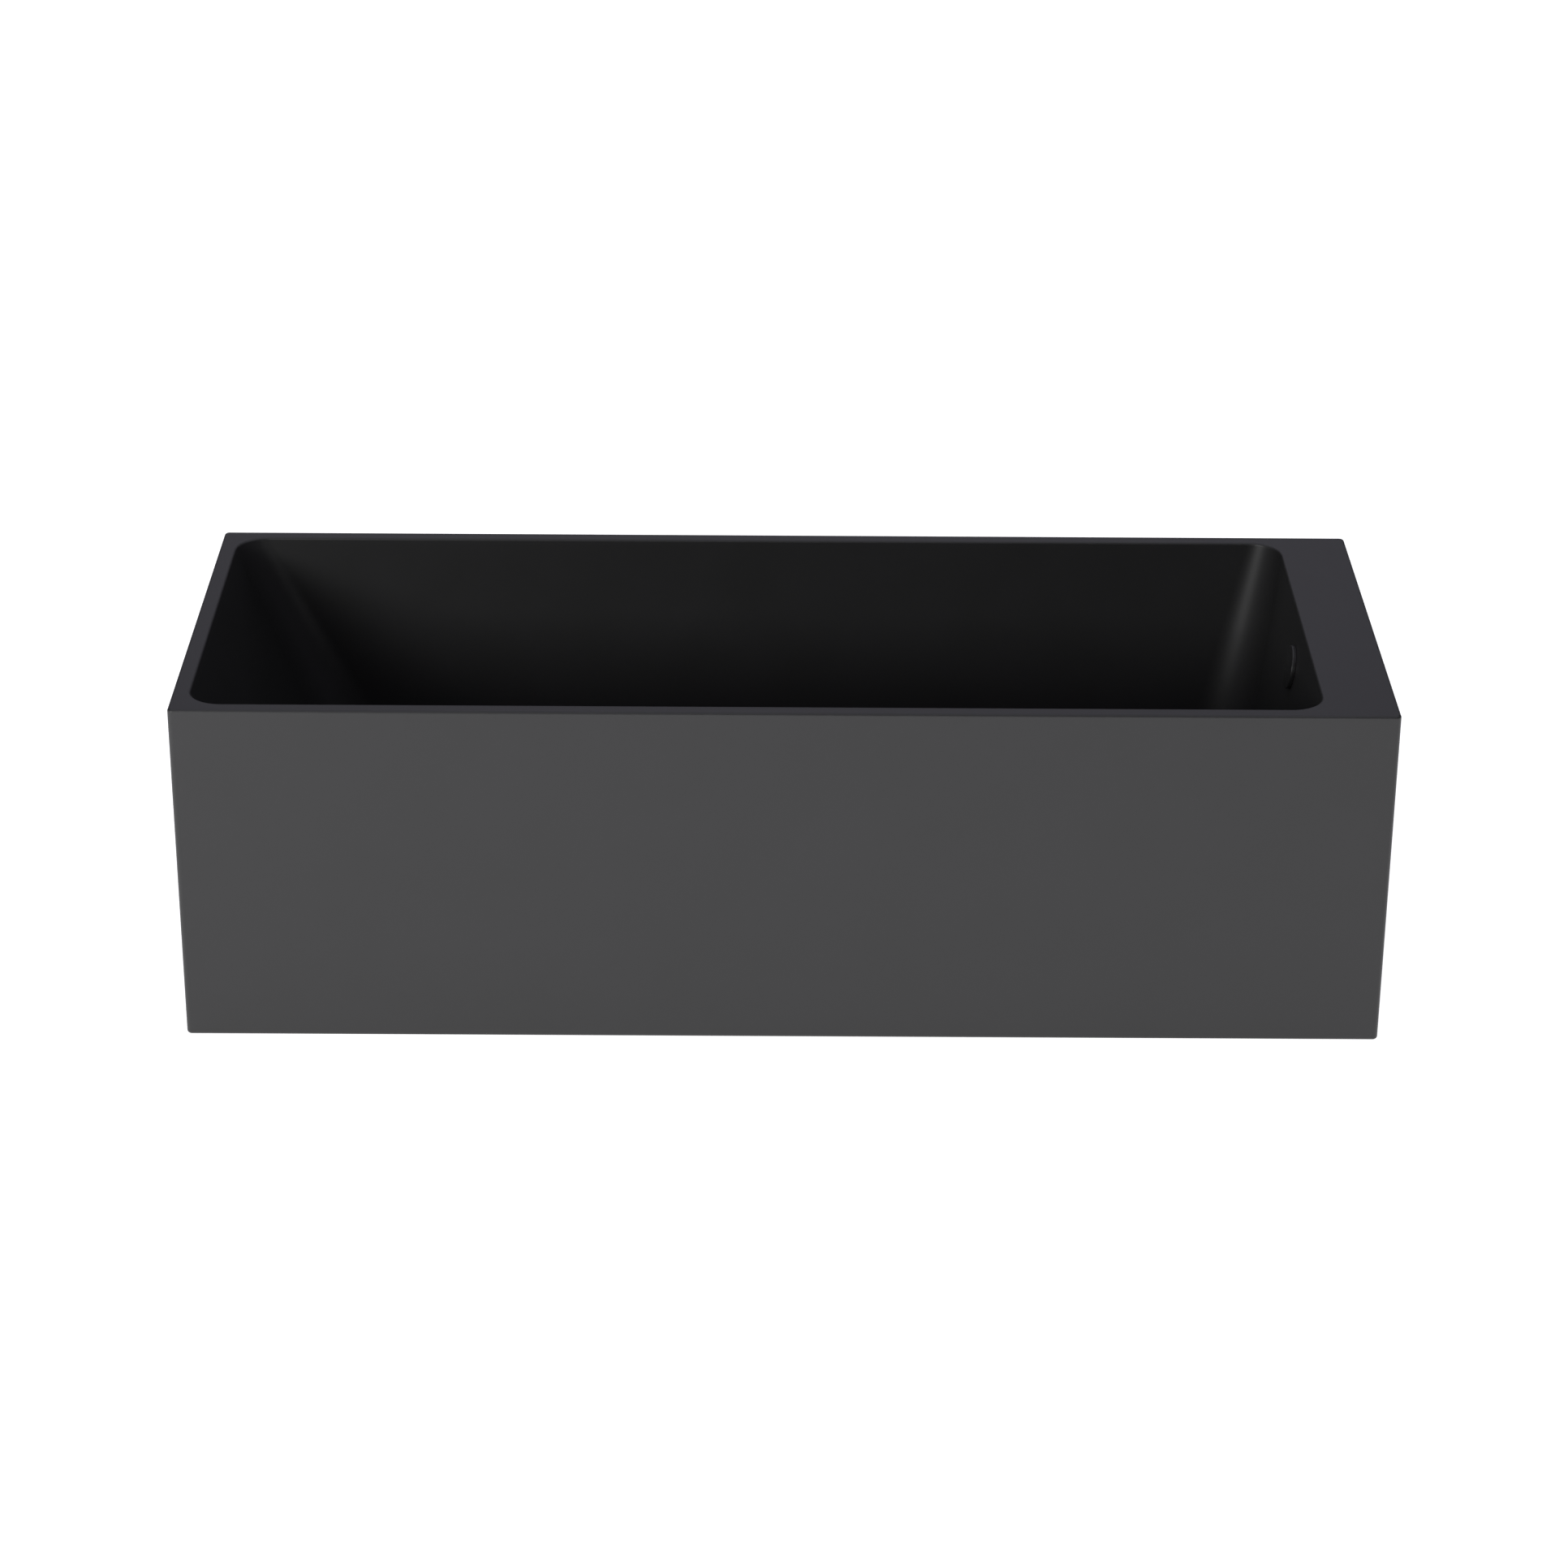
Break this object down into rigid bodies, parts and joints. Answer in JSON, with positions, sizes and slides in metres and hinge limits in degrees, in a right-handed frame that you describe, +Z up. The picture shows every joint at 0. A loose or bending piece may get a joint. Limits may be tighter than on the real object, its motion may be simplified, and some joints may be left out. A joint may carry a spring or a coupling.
{
  "type": "freestanding bathtub",
  "caption": "Rectangular matte black double-skin bathtub: thin rims, a wide deck at the foot end, sloping backrest, push-open waste and levelling feet.",
  "frame": {"origin": "on the floor, under the middle of the tub", "axes": "+X along the length towards the deck and waste, -Y the front, +Z up"},
  "size_m": [1.8, 0.7, 0.54],
  "materials": {
    "acrylic": "matte black sanitary acrylic, fine silky texture",
    "laminate": "rolled glass-fibre laminate",
    "plywood": "raw birch plywood",
    "galvanised_tube": "galvanised, spangled",
    "zinc_steel": "bright zinc plated",
    "foot_plastic": "moulded, fine grain",
    "black_trim": "matte black powder coat",
    "brass": "turned",
    "rubber": "moulded",
    "pipe_plastic": "moulded polypropylene",
    "nut_plastic": "moulded polypropylene"
  },
  "bodies": {
    "tub": {"basin_laminate": "laminate", "basin_shell": "acrylic", "board_screws": "zinc_steel", "cross_rail_backrest": "galvanised_tube", "cross_rail_left": "galvanised_tube", "cross_rail_middle": "galvanised_tube", "cross_rail_right": "galvanised_tube", "cross_rail_trap": "galvanised_tube", "deck_board": "plywood", "floor_board": "plywood", "foot_lock_nuts": "zinc_steel", "foot_weld_nuts": "zinc_steel", "frame_rail_back": "galvanised_tube", "frame_rail_front": "galvanised_tube", "hose_nut_lower": "nut_plastic", "hose_nut_upper": "nut_plastic", "outer_shell": "acrylic", "outlet_pipe": "pipe_plastic", "overflow_back_seal": "rubber", "overflow_body": "black_trim", "overflow_cover": "black_trim", "overflow_elbow": "pipe_plastic", "overflow_gasket": "rubber", "overflow_hose": "pipe_plastic", "plug_cartridge": "brass", "rim_batten_back": "plywood", "rim_batten_front": "plywood", "rim_batten_left": "plywood", "trap_body": "pipe_plastic", "trap_inlet_nut": "nut_plastic", "trap_outlet_nut": "nut_plastic", "waste_body": "pipe_plastic", "waste_flange": "black_trim", "waste_gasket_lower": "rubber", "waste_gasket_upper": "rubber"},
    "plug": {"plug_cap": "black_trim", "plug_seal": "rubber", "plug_stem": "brass"},
    "foot_front_left": {"foot_stud_front_left": "zinc_steel", "foot_pad_front_left": "foot_plastic"},
    "foot_front_middle": {"foot_stud_front_middle": "zinc_steel", "foot_pad_front_middle": "foot_plastic"},
    "foot_front_right": {"foot_stud_front_right": "zinc_steel", "foot_pad_front_right": "foot_plastic"},
    "foot_back_left": {"foot_stud_back_left": "zinc_steel", "foot_pad_back_left": "foot_plastic"},
    "foot_back_middle": {"foot_stud_back_middle": "zinc_steel", "foot_pad_back_middle": "foot_plastic"},
    "foot_back_right": {"foot_stud_back_right": "zinc_steel", "foot_pad_back_right": "foot_plastic"}
  },
  "joints": [
    {"name": "plug_lift", "type": "slide", "parent": "tub", "child": "plug", "axis": [0, 0, 1], "range_m": [0, 0.008]},
    {"name": "foot_front_left_adjust", "type": "slide", "parent": "tub", "child": "foot_front_left", "axis": [0, 0, -1], "range_m": [0, 0.015]},
    {"name": "foot_front_middle_adjust", "type": "slide", "parent": "tub", "child": "foot_front_middle", "axis": [0, 0, -1], "range_m": [0, 0.015]},
    {"name": "foot_front_right_adjust", "type": "slide", "parent": "tub", "child": "foot_front_right", "axis": [0, 0, -1], "range_m": [0, 0.015]},
    {"name": "foot_back_left_adjust", "type": "slide", "parent": "tub", "child": "foot_back_left", "axis": [0, 0, -1], "range_m": [0, 0.015]},
    {"name": "foot_back_middle_adjust", "type": "slide", "parent": "tub", "child": "foot_back_middle", "axis": [0, 0, -1], "range_m": [0, 0.015]},
    {"name": "foot_back_right_adjust", "type": "slide", "parent": "tub", "child": "foot_back_right", "axis": [0, 0, -1], "range_m": [0, 0.015]}
  ]
}
